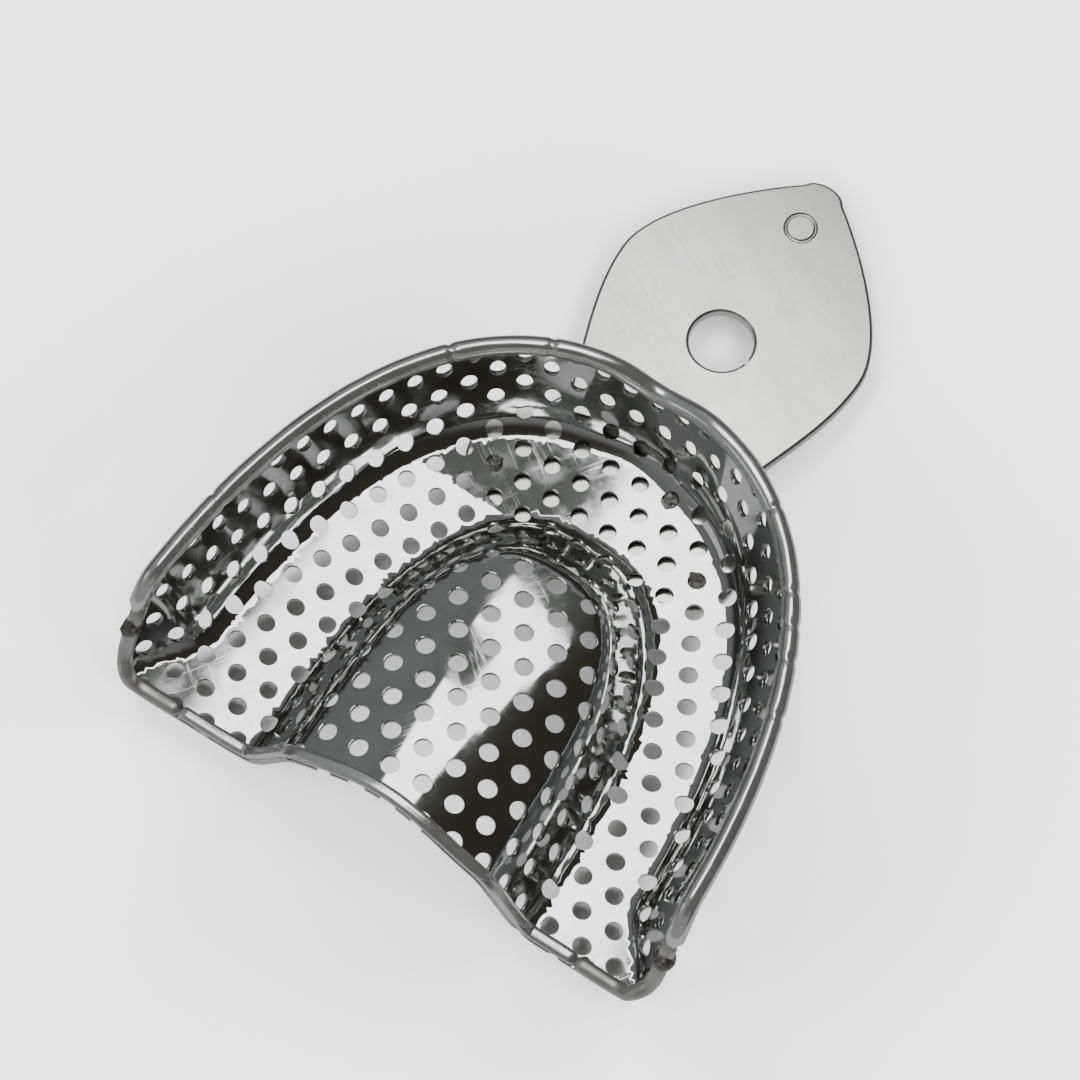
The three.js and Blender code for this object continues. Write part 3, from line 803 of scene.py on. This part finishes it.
# ---- Pieces ----
@dataclass
class TrayShell:
    """The pressed, perforated sheet."""

    form: PressedForm
    blank: PressedBlank
    hole: float = 1.88
    sides: int = 18
    lip: float = 0.36
    edge: float = 0.07
    rolled: float = 0.012
    ripples: float = 0.035

    def tile(self) -> bpy.types.Object:
        """One flat cell of the sheet, one pitch wide: a round hole in a hexagon."""
        bpy.ops.object.select_all(action="DESELECT")
        bpy.ops.mesh.primitive_circle_add(vertices=self.sides,
                                          radius=self.hole / 2 / self.blank.pitch)
        piece = named("sheet_tile")
        edit(piece, "EDGE")
        for reach in (self.lip * 2 * self.blank.pitch / self.hole, 0.5 / self.lip):
            bpy.ops.mesh.extrude_region_move()
            bpy.ops.transform.resize(value=(reach, reach, 1.0))
        close()
        rows = coordinates(piece)
        angle = np.arctan2(rows[:, 1], rows[:, 0])
        reach = np.hypot(rows[:, 0], rows[:, 1])
        sixth = math.pi / 3
        off_axis = angle - np.round(angle / sixth) * sixth
        hexagon = 0.5 / np.cos(off_axis)
        reach = np.where(reach > 0.45, hexagon, reach)
        set_coordinates(piece, np.stack([reach * np.cos(angle), reach * np.sin(angle),
                                         rows[:, 2]], -1))
        return piece

    def build(self, layout: Layout) -> bpy.types.Object:
        """Copies the tile over the blank, presses it, trims it and gives it its thickness."""
        tile = self.tile()
        flat = coordinates(tile)[:, :2]
        faces = np.array([list(face.vertices) for face in tile.data.polygons])
        bpy.data.objects.remove(tile)
        punched = np.flatnonzero((self.blank.near >= 0).all(1))
        angle = np.arctan2(flat[:, 1], flat[:, 0]) % (2 * math.pi)
        sixth = math.pi / 3
        sector = np.floor(angle / sixth + 1e-6).astype(int) % 6
        within = angle - np.floor(angle / sixth + 1e-6) * sixth
        reach = np.hypot(flat[:, 0], flat[:, 1])
        toward_next = reach * np.sin(within) / math.sin(sixth)
        toward_near = reach * np.cos(within) - toward_next * math.cos(sixth)
        rows, sheets = [], []
        for count, index in enumerate(punched):
            centre = self.blank.places[index]
            near = self.blank.places[self.blank.near[index, sector]]
            after = self.blank.places[self.blank.near[index, (sector + 1) % 6]]
            rows.append(centre + toward_near[:, None] * (near - centre)
                        + toward_next[:, None] * (after - centre))
            sheets.append(faces + count * len(flat))
        points = self.form.settle(np.concatenate(rows))
        at_hole = np.tile(reach < self.lip * 0.95, len(punched))
        points = self.worn(points, at_hole)
        data = bpy.data.meshes.new("perforated_sheet")
        mesh = bmesh.new()
        verts = [mesh.verts.new(point) for point in points]
        for face in np.concatenate(sheets):
            mesh.faces.new([verts[index] for index in face])
        bmesh.ops.remove_doubles(mesh, verts=mesh.verts, dist=1e-4)
        self.trim(mesh, self.over_edge)
        self.trim(mesh, lambda co: float(-co.y - self.form.border(np.array(co.x))))
        self.keep_largest(mesh)
        mesh.normal_update()
        if sum(face.normal.z for face in mesh.faces) < 0:
            bmesh.ops.reverse_faces(mesh, faces=mesh.faces)
        mesh.to_mesh(data)
        mesh.free()
        piece = bpy.data.objects.new("perforated_sheet", data)
        bpy.context.scene.collection.objects.link(piece)
        set_coordinates(piece, layout.place(coordinates(piece)))
        modify(piece, "SOLIDIFY", thickness=self.form.sheet * MM, offset=-1.0,
               use_even_offset=False)
        modify(piece, "BEVEL", width=self.edge * MM, segments=2, limit_method="ANGLE",
               angle_limit=math.radians(50), use_clamp_overlap=True)
        smooth(piece, 45.0)
        self.even_shading(piece, layout)
        return piece

    def even_shading(self, piece: bpy.types.Object, layout: Layout) -> None:
        """Gives the sheet's upper face the form's own normals, clear of the holes' edges."""
        rows = coordinates(piece) / MM - layout.place(np.zeros((1, 3))) / MM
        top = self.form.normal(rows[:, 0], -rows[:, 1])
        depth = (self.form.height(rows[:, 0], -rows[:, 1]) - rows[:, 2]) * top[:, 2]
        upper = np.abs(depth) < 0.06
        normals = np.where(upper[:, None], top, 0.0)
        piece.data.normals_split_custom_set_from_vertices(normals.tolist())

    def worn(self, points: np.ndarray, at_hole: np.ndarray) -> np.ndarray:
        """Rolls the holes' edges down and gives the sheet its slight ripples."""
        normal = self.form.normal(points[:, 0], -points[:, 1])
        steep = 1.0 - normal[:, 2]
        swell = ripple(points, 7.0, 3.7) + 0.12 * ripple(points, 2.9, 8.1)
        lift = self.ripples * swell * (0.35 + 1.1 * steep) - self.rolled * at_hole
        return points + normal * lift[:, None]

    def over_edge(self, place: Vector) -> float:
        """How far a place lies under the wall's cut edge, or far more inside the vault."""
        form = self.form
        x, forward = np.array(place.x), np.array(-place.y)
        spread = form.trim_spread * form.side_trough
        raised = smooth_step(form.arch_inset(x, forward) / spread - 1.0)
        top = form.edge_height(x, forward) + 2 * form.vault_height * raised
        return float(top - place.z)

    @staticmethod
    def trim(mesh: bmesh.types.BMesh, depth: Callable[[Vector], float]) -> None:
        """Cuts the sheet where a depth is zero and drops what lies past it.

        Args:
            mesh: The open sheet.
            depth: Signed distance, above zero on what is kept.
        """
        value = {vert: depth(vert.co) for vert in mesh.verts}
        value = {vert: 0.0 if abs(v) < 0.02 else v for vert, v in value.items()}
        for edge in list(mesh.edges):
            first, last = edge.verts
            if value[first] * value[last] < 0:
                share = value[first] / (value[first] - value[last])
                cut = bmesh.utils.edge_split(edge, first, share)[1]
                value[cut] = 0.0
        for face in list(mesh.faces):
            on_cut = [loop for loop in face.loops if value[loop.vert] == 0.0]
            signs = {value[vert] > 0 for vert in face.verts if value[vert] != 0.0}
            if len(on_cut) == 2 and len(signs) == 2:
                bmesh.utils.face_split(face, on_cut[0].vert, on_cut[1].vert)
        gone = [face for face in mesh.faces if sum(value[vert] for vert in face.verts) < 0]
        bmesh.ops.delete(mesh, geom=gone, context="FACES")

    @staticmethod
    def keep_largest(mesh: bmesh.types.BMesh) -> None:
        """Drops scraps that are joined to nothing."""
        left = set(mesh.faces)
        islands = []
        while left:
            island, edge_of = [], [left.pop()]
            while edge_of:
                face = edge_of.pop()
                island.append(face)
                for edge in face.edges:
                    for other in edge.link_faces:
                        if other in left:
                            left.discard(other)
                            edge_of.append(other)
            islands.append(island)
        islands.sort(key=len)
        scraps = [face for island in islands[:-1] for face in island]
        bmesh.ops.delete(mesh, geom=scraps, context="FACES")


@dataclass
class Rim:
    """The bead round the arch, the strip along the back and the wrapped corners."""

    form: PressedForm
    bead: Section = Section(0.95, 0.95, 2.2, 20)
    strip: Section = Section(0.68, 0.34, 2.6, 16)
    band: Section = Section(0.78, 0.52, 2.4, 16)
    bead_start: float = 3.6
    bead_rise: float = 0.72
    strip_end: float = 6.5
    bead_nicks: tuple[tuple[float, float], ...] = (
        (28.5, 16.5), (19.0, 41.0), (11.0, 46.5), (-16.0, 44.5), (-22.5, 38.0), (-24.0, 35.5),
        (-25.5, 32.0), (-27.5, 27.0))

    def bead_path(self, along: np.ndarray) -> np.ndarray:
        """Middle line of the bead from the left corner to the right one."""
        start = self.form.angle_at(self.bead_start)
        return self.form.above_edge(start + (math.pi - 2 * start) * along, self.bead_rise)

    def strip_path(self, along: np.ndarray) -> np.ndarray:
        """Middle line of the strip, lapped on the sheet's upper side."""
        end = self.form.arch_half_width - self.strip_end
        x = -end + 2 * end * along
        forward = self.form.border(x) + self.strip.half_width
        normal = self.form.normal(x, forward)
        rows = np.stack([x, -forward, self.form.height(x, forward)], -1)
        return rows + normal * (self.strip.half_height - 0.1)

    def band_path(self, side: Side) -> Callable[[np.ndarray], np.ndarray]:
        """Middle line of a corner's band, from the bead's end to the strip's."""
        form = self.form
        rounding = 0.3 * form.corner_rounding
        corner_x = form.arch_half_width - rounding
        corner_forward = rounding - form.border_reach
        rise = 0.35

        def on_sheet(x: float) -> list[float]:
            """A point over the back border's edge."""
            forward = float(form.border(np.array(x))) + 0.55
            return [x, -forward, float(form.height(np.array(x), np.array(forward))) + 0.25]

        start = form.above_edge(np.array([form.angle_at(self.bead_start + 0.4)]), 0.5)[0]
        middle = form.above_edge(np.array([form.angle_at(0.3 * self.bead_start)]), rise)[0]
        corner = [corner_x, -corner_forward, float(form.edge_height(
            np.array(corner_x), np.array(corner_forward))) + rise]
        knots = np.array([start, middle, corner, on_sheet(form.arch_half_width
                                                          - form.corner_rounding),
                          on_sheet(form.arch_half_width - self.strip_end - 0.3)])
        knots[:, 0] *= side.value

        def path(along: np.ndarray) -> np.ndarray:
            """Smooth curve through the band's knots."""
            return smooth_through(knots, along)

        return path

    def build(self, layout: Layout, wire: bpy.types.Material, band: bpy.types.Material) -> None:
        """Builds and dresses the four rim pieces."""
        bead = SweptWire("rolled_rim_bead", self.bead, self.bead_path, 98, 0.045,
                         seed=2.0, fine_cuts=2, nicks=self.bead_nicks).build(layout)
        hand_over(bead, Slot.WIRE, wire, "outer_rim_bead")
        strip = SweptWire("back_border_strip", self.strip, self.strip_path, 90, 0.07,
                          seed=5.0).build(layout)
        hand_over(strip, Slot.WIRE, wire, "posterior_rim_strip")
        for side in Side:
            name = side.name.lower()
            wrap = SweptWire(f"{name}_wrapped_corner", self.band, self.band_path(side), 40, 0.05,
                             seed=9.0 + side.value).build(layout)
            hand_over(wrap, Slot.WIRE, band, f"{name}_corner_wrap")


def smooth_through(knots: np.ndarray, along: np.ndarray) -> np.ndarray:
    """A Catmull-Rom curve through knots.

    Args:
        knots: Rows of x, y and z.
        along: Shares of the curve.

    Returns:
        One row for each share.
    """
    padded = np.concatenate([2 * knots[:1] - knots[1:2], knots, 2 * knots[-1:] - knots[-2:-1]])
    spans = len(knots) - 1
    place = np.clip(along, 0.0, 1.0) * spans
    span = np.minimum(place.astype(int), spans - 1)
    t = (place - span)[:, None]
    a, b, c, d = (padded[span + step] for step in range(4))
    return 0.5 * (2 * b + (c - a) * t + (2 * a - 5 * b + 4 * c - d) * t**2
                  + (3 * b - a - 3 * c + d) * t**3)


@dataclass
class SolderJoint:
    """A ragged lump of solder."""

    name: str
    node: str
    place: tuple[float, float, float]
    size: tuple[float, float, float]
    ragged: float = 0.3
    grain: float = 0.7
    seed: float = 0.0

    def build(self, layout: Layout, finish: bpy.types.Material) -> None:
        """Models the lump from a ball that is flattened and roughened."""
        bpy.ops.object.select_all(action="DESELECT")
        bpy.ops.mesh.primitive_ico_sphere_add(subdivisions=5, radius=1.0)
        piece = named(self.name)
        rows = coordinates(piece)
        unit = rows / np.linalg.norm(rows, axis=-1, keepdims=True)
        shaped = unit * np.array(self.size)
        rough = ripple(shaped + self.seed, self.grain, self.seed)
        rough += 0.5 * ripple(shaped, self.grain / 2.6, self.seed + 4.0)
        rough += 0.22 * ripple(shaped, self.grain / 6.0, self.seed + 7.0)
        shaped = shaped * (1.0 + self.ragged * rough)[:, None]
        set_coordinates(piece, layout.place(shaped + np.array(self.place)))
        face_outward(piece)
        smooth(piece, 60.0)
        hand_over(piece, Slot.SOLDER, finish, self.node)


@dataclass
class HandlePlate:
    """The flat spade handle with its foot under the trough."""

    form: PressedForm
    grip_length: float = 32.2
    grip_half_width: float = 13.9
    grip_widest: float = 15.8
    neck_half_width: float = 9.8
    neck_flare: float = 1.6
    neck_run: float = 5.0
    grip_roundness: float = 5.5
    tip_radius: float = 2.2
    tip_spread: float = 2.6
    tip_run: float = 3.4
    tip_bow: float = 0.7
    hanging_hole: float = 6.4
    hole_forward: float = 12.2
    foot_half_width: float = 15.0
    foot_shoulder_run: float = 4.0
    foot_side_end: float = 9.0
    foot_end_bow: float = 1.0
    foot_end_spread: float = 0.7
    edge: float = 0.55
    ring_radius: float = 1.5
    ring_wire: float = 0.3
    ring_depth: float = 0.13
    ring_from_tip: float = 5.2
    nick_radius: float = 0.42

    def outline(self) -> np.ndarray:
        """Rows of x and y round the plate."""
        root = -self.form.arch_length
        tip = root - self.grip_length
        widest = root - self.grip_widest
        foot_end = root + self.form.foot_depth
        neck, grip, foot, nib = (self.neck_half_width, self.grip_half_width,
                                 self.foot_half_width, self.tip_radius)
        shoulder, side_end = root + self.foot_shoulder_run, root + self.foot_side_end
        low, high = widest - self.grip_roundness, widest + self.grip_roundness
        nib_end = (nib, tip + self.tip_bow)
        half = [
            ((0, tip - 0.35), (nib * 0.6, tip - 0.3), (nib * 0.9, tip + 0.2), nib_end),
            (nib_end, (nib * self.tip_spread, tip + self.tip_run), (grip, low), (grip, widest)),
            ((grip, widest), (grip, high), (neck + self.neck_flare, root - self.neck_run),
             (neck, root)),
            ((neck, root), (neck, shoulder), (foot, shoulder), (foot, side_end)),
            ((foot, side_end), (foot, foot_end - self.foot_end_bow),
             (foot * self.foot_end_spread, foot_end), (0, foot_end)),
        ]
        side = np.concatenate([bezier(np.array(knots, float), 18)[:-1] for knots in half])
        side = np.concatenate([side, [[0.0, foot_end]]])
        other = side[1:-1][::-1] * np.array([-1.0, 1.0])
        return np.concatenate([side, other])

    def build(self, layout: Layout, finish: bpy.types.Material) -> None:
        """Cuts the plate out, thickens it, eases its edges and stamps it."""
        outline = self.outline()
        centre = (0.0, -self.form.arch_length - self.hole_forward)
        bpy.ops.object.select_all(action="DESELECT")
        bpy.ops.mesh.primitive_circle_add(vertices=len(outline), radius=50.0)
        piece = named("spade_handle")
        set_coordinates(piece, np.column_stack([outline, np.zeros(len(outline))]))
        edit(piece, "EDGE")
        bpy.ops.mesh.primitive_circle_add(vertices=64, radius=self.hanging_hole / 2,
                                          location=(*centre, 0.0))
        bpy.ops.mesh.select_all(action="SELECT")
        bpy.ops.mesh.fill()
        bpy.ops.mesh.select_all(action="SELECT")
        bpy.ops.mesh.extrude_region_move(
            TRANSFORM_OT_translate={"value": (0.0, 0.0, self.form.plate)})
        bpy.ops.mesh.select_all(action="SELECT")
        bpy.ops.mesh.normals_make_consistent(inside=False)
        bpy.ops.mesh.dissolve_limited(angle_limit=math.radians(0.1))
        close()
        modify(piece, "BEVEL", width=self.edge, segments=4, limit_method="ANGLE",
               angle_limit=math.radians(60), harden_normals=False)
        self.stamp(piece)
        self.nick(piece, centre)
        set_coordinates(piece, layout.place(coordinates(piece)))
        smooth(piece, 35.0)
        modify(piece, "WEIGHTED_NORMAL", keep_sharp=True)
        hand_over(piece, Slot.HANDLE, finish, "handle_plate")

    def stamp(self, piece: bpy.types.Object) -> None:
        """Presses a plain ring into the top near the tip."""
        y = -self.form.arch_length - self.grip_length + self.ring_from_tip
        bpy.ops.object.select_all(action="DESELECT")
        bpy.ops.mesh.primitive_torus_add(
            location=(0.0, y, self.form.plate + self.ring_wire - self.ring_depth),
            major_radius=self.ring_radius, minor_radius=self.ring_wire, major_segments=48,
            minor_segments=16)
        self.cut_with(piece, named("ring_punch"))

    def nick(self, piece: bpy.types.Object, centre: tuple[float, float]) -> None:
        """Cuts the small nick in the hanging hole's right edge."""
        bpy.ops.object.select_all(action="DESELECT")
        bpy.ops.mesh.primitive_cylinder_add(
            vertices=20, radius=self.nick_radius, depth=4.0,
            location=(centre[0] - self.hanging_hole / 2 + 0.1, centre[1] + 0.5, 0.0))
        self.cut_with(piece, named("nick_cutter"))

    @staticmethod
    def cut_with(piece: bpy.types.Object, cutter: bpy.types.Object) -> None:
        """Cuts a piece with another, which is then removed."""
        modify(piece, "BOOLEAN", operation="DIFFERENCE", object=cutter, solver="EXACT")
        bpy.data.objects.remove(cutter)


def bezier(knots: np.ndarray, steps: int) -> np.ndarray:
    """Points along a cubic curve.

    Args:
        knots: Its four control points, as rows.
        steps: How many spans to cut it into.

    Returns:
        One row more than there are spans.
    """
    t = np.linspace(0.0, 1.0, steps + 1)[:, None]
    return ((1 - t) ** 3 * knots[0] + 3 * (1 - t) ** 2 * t * knots[1]
            + 3 * (1 - t) * t**2 * knots[2] + t**3 * knots[3])


# ---- Studio ----
@dataclass
class Studio:
    """Floor, lights and camera."""

    azimuth: float = 213.2
    elevation: float = 68.0
    distance: float = 380.0
    lens: float = 132.0
    aim: tuple[float, float, float] = (2.92, -32.01, 3.33)
    card_height: float = 0.5
    softboxes: int = 5
    softbox_reach: float = 1.3
    softbox_rise: float = math.radians(24.0)
    softbox_size: tuple[float, float] = (1.0, 0.5)
    softbox_brightness: float = 23.0

    def camera(self, layout: Layout) -> None:
        """Sets the camera at the tray's viewing angle."""
        turn, tilt = math.radians(self.azimuth), math.radians(self.elevation)
        back = Vector((math.sin(turn) * math.cos(tilt), -math.cos(turn) * math.cos(tilt),
                       math.sin(tilt)))
        right = Vector((math.cos(turn), math.sin(turn), 0.0))
        up = back.cross(right)
        data = bpy.data.cameras.new("studio_camera")
        data.lens = self.lens
        data.sensor_width = 36.0
        data.clip_start = 0.01
        camera = bpy.data.objects.new("studio_camera", data)
        bpy.context.scene.collection.objects.link(camera)
        aim = Vector(layout.place(np.array([self.aim]))[0])
        turned = Matrix((right, up, back)).transposed().to_4x4()
        camera.matrix_world = Matrix.Translation(aim + back * self.distance * MM) @ turned
        bpy.context.scene.camera = camera

    def lamp(self, name: str, place: tuple[float, float, float], size: tuple[float, float],
             brightness: float, glossy: bool, diffuse: bool, turn: float = 0.0,
             toward: tuple[float, float, float] = (0.0, 0.0, 0.0),
             colour: tuple[float, float, float] = (1.0, 1.0, 1.0)) -> None:
        """Adds a soft rectangular lamp.

        Args:
            name: The lamp's name.
            place: Where it hangs, in metres.
            size: Its width and length.
            brightness: Light from each square metre of its face.
            glossy: Whether polished steel mirrors it.
            diffuse: Whether it lights dull surfaces.
            turn: Turn about its own axis.
            toward: What it points at.
            colour: Its colour.
        """
        data = bpy.data.lights.new(name, "AREA")
        data.shape = "RECTANGLE"
        data.size, data.size_y = size
        data.energy = brightness * math.pi * size[0] * size[1]
        data.color = colour
        lamp = bpy.data.objects.new(name, data)
        bpy.context.scene.collection.objects.link(lamp)
        aim = (Vector(toward) - Vector(place)).to_track_quat("-Z", "Y")
        lamp.matrix_world = (Matrix.Translation(place) @ aim.to_matrix().to_4x4()
                             @ Matrix.Rotation(turn, 4, "Z"))
        lamp.visible_camera = False
        lamp.visible_glossy = glossy
        lamp.visible_diffuse = diffuse

    def card(self, name: str, place: tuple[float, float], size: tuple[float, float],
             brightness: float, turn: float = 0.0) -> None:
        """Hangs a flat white card, facing down, that only polished steel mirrors."""
        hung = (*place, self.card_height)
        self.lamp(name, hung, size, brightness, True, False, toward=(*place, 0.0))
        card = bpy.data.objects[name]
        card.matrix_world = Matrix.Translation(hung) @ Matrix.Rotation(turn, 4, "Z")

    def lights(self) -> None:
        """Hangs the softboxes and the cards."""
        for index in range(self.softboxes):
            around = math.radians(360.0 * (index + 0.5) / self.softboxes)
            place = (self.softbox_reach * math.cos(around), self.softbox_reach * math.sin(around),
                     self.softbox_reach * math.tan(self.softbox_rise))
            self.lamp(f"softbox_{index}", place, self.softbox_size, self.softbox_brightness,
                      False, True)
        self.card("back_card", (0.099, -0.055), (0.112, 0.19), 3.6)
        self.card("corner_card", (0.065, -0.165), (0.08, 0.09), 3.6)
        self.card("front_card", (0.085, -0.216), (0.17, 0.06), 3.4, math.radians(-14.0))
        self.card("dim_card", (0.14, -0.42), (0.36, 0.24), 0.12)
        self.lamp("side_card", (0.42, 0.36, 0.34), (0.22, 0.22), 0.5, True, False)

    @staticmethod
    def surroundings() -> None:
        """Sets the dark room that the steel mirrors, paler toward the tray's left and back."""
        world = bpy.data.worlds.new("studio_surroundings")
        world.use_nodes = True
        bpy.context.scene.world = world
        made = Tree(world.node_tree)
        background = world.node_tree.nodes["Background"]
        direction = made.add("TexCoord").outputs["Generated"]
        parts = made.add("SeparateXYZ", {0: direction})
        sideways = made.ramp(parts.outputs[0], -0.15, 0.45)
        colour = made.blend(sideways, (0.04, 0.036, 0.028, 1.0), (0.17, 0.18, 0.175, 1.0))
        low = made.ramp(parts.outputs[2], 0.4, 0.8)
        behind = made.ramp(parts.outputs[1], 0.3, 0.75)
        horizon = made.blend(behind, (0.03, 0.03, 0.03, 1.0), (0.2, 0.2, 0.2, 1.0))
        colour = made.blend(low, horizon, colour)
        table = made.ramp(parts.outputs[2], -0.3, -0.02)
        colour = made.blend(table, (0.45, 0.45, 0.45, 1.0), colour)
        seen = made.add("LightPath").outputs["Is Camera Ray"]
        colour = made.blend(seen, colour, (1.6, 1.6, 1.6, 1.0))
        world.node_tree.links.new(colour, background.inputs["Color"])

    def floor(self) -> None:
        """Lays the pale floor."""
        bpy.ops.object.select_all(action="DESELECT")
        bpy.ops.mesh.primitive_plane_add(size=8.0)
        floor = named("studio_floor")
        edit(floor)
        bpy.ops.mesh.subdivide(number_cuts=6)
        close()
        material = bpy.data.materials.new("pale_floor")
        material.use_nodes = True
        made = Tree(material.node_tree)
        shader = material.node_tree.nodes["Principled BSDF"]
        shader.inputs["Roughness"].default_value = 0.85
        shader.inputs["Specular IOR Level"].default_value = 0.1
        place = made.add("TexCoord").outputs["Object"]
        tone = made.noise(place, 60.0, 4.0)
        colour = made.blend(tone, (0.9, 0.9, 0.9, 1.0), (0.93, 0.93, 0.93, 1.0))
        material.node_tree.links.new(colour, shader.inputs["Base Color"])
        floor.data.materials.append(material)
        floor.visible_glossy = False

    def build(self, layout: Layout) -> None:
        """Sets up the whole studio."""
        self.camera(layout)
        self.lights()
        self.surroundings()
        self.floor()


# ---- The tray ----
@dataclass
class ImpressionTray:
    """The whole tray in the order that it is made."""

    form: PressedForm = field(default_factory=PressedForm)
    foot_spots: tuple[tuple[str, float, float], ...] = (
        ("left", 12.5, 36.0), ("right", -12.5, 36.0), ("front", -4.0, 42.0))
    braze_radius: float = 0.6
    braze_half_length: float = 8.0
    seating_passes: int = 30

    def solder_joints(self, blank: PressedBlank) -> list[SolderJoint]:
        """Every lump of solder, with its place and size."""
        form = self.form
        rim = Rim(form)
        joints = []
        for side in Side:
            name = side.name.lower()
            bead = form.above_edge(np.array([form.angle_at(rim.bead_start - 0.9)]), 0.55)[0]
            joints.append(SolderJoint(f"{name}_bead_end", f"{name}_bead_solder",
                                      (bead[0] * side.value, bead[1], bead[2]),
                                      (0.95, 1.15, 0.85), 0.22, seed=side.value * 3.0))
            x = form.arch_half_width - rim.strip_end + 0.9
            forward = float(form.border(np.array(x))) + rim.strip.half_width
            z = float(form.height(np.array(x), np.array(forward))) + 0.3
            joints.append(SolderJoint(f"{name}_strip_end", f"{name}_strip_solder",
                                      (x * side.value, -forward, z), (1.2, 0.75, 0.4), 0.3,
                                      0.9, side.value * 5.0))
        for count, (name, x, forward) in enumerate(self.foot_spots):
            hole = blank.nearest(x, forward)
            joints.append(SolderJoint(f"{name}_foot_joint", f"{name}_foot_solder",
                                      (hole[0], hole[1], hole[2] - 0.28), (0.98, 0.9, 0.5), 0.42,
                                      0.8, 11.0 + count))
        return joints

    def braze_path(self, along: np.ndarray) -> np.ndarray:
        """Middle line of the braze between handle and front wall."""
        form = self.form
        height = form.plate + form.clearance + self.braze_radius
        apart = form.sheet + form.clearance + self.braze_radius
        x = self.braze_half_length - 2 * self.braze_half_length * along
        share = 1.0 - (np.abs(x) / form.arch_half_width) ** form.arch_fullness
        out = form.arch_length * share ** (1.0 / form.arch_fullness)
        back = out - form.front_trough / 2
        for _ in range(self.seating_passes):
            middle = (out + back) / 2
            place = np.stack([x, -middle, np.full_like(x, height)], -1)
            nearest = form.settle(place)
            under = np.sign(nearest[:, 2] - place[:, 2])
            depth = np.linalg.norm(nearest - place, axis=-1) * under
            out = np.where(depth > apart, middle, out)
            back = np.where(depth > apart, back, middle)
        return np.stack([x, -out, np.full_like(x, height)], -1)

    def build(self, layout: Layout) -> None:
        """Builds every piece of the tray."""
        effects = Effects()
        sheet, wire, band, handle, solder = (
            finish.material(effects)
            for finish in (SHEET_STEEL, WIRE_STEEL, BAND_STEEL, HANDLE_STEEL, ROUGH_SOLDER))
        blank = PressedBlank(self.form)
        shell = TrayShell(self.form, blank).build(layout)
        hand_over(shell, Slot.SHEET, sheet, "tray_shell")
        Rim(self.form).build(layout, wire, band)
        HandlePlate(self.form).build(layout, handle)
        for joint in self.solder_joints(blank):
            joint.build(layout, solder)
        braze = SweptWire("front_braze", Section(0.75, 0.7), self.braze_path, 60, 0.18,
                          seed=4.0).build(layout)
        hand_over(braze, Slot.SOLDER, solder, "handle_braze")


def main() -> None:
    """Builds the tray and its studio."""
    logging.basicConfig(level=logging.INFO, format="%(name)s: %(message)s")
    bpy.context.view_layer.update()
    tray = ImpressionTray()
    tip = tray.form.arch_length + HandlePlate(tray.form).grip_length
    layout = Layout(tip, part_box("handle_plate")[0].y / MM)
    Studio().build(layout)
    tray.build(layout)


if __name__ == "__main__":
    main()
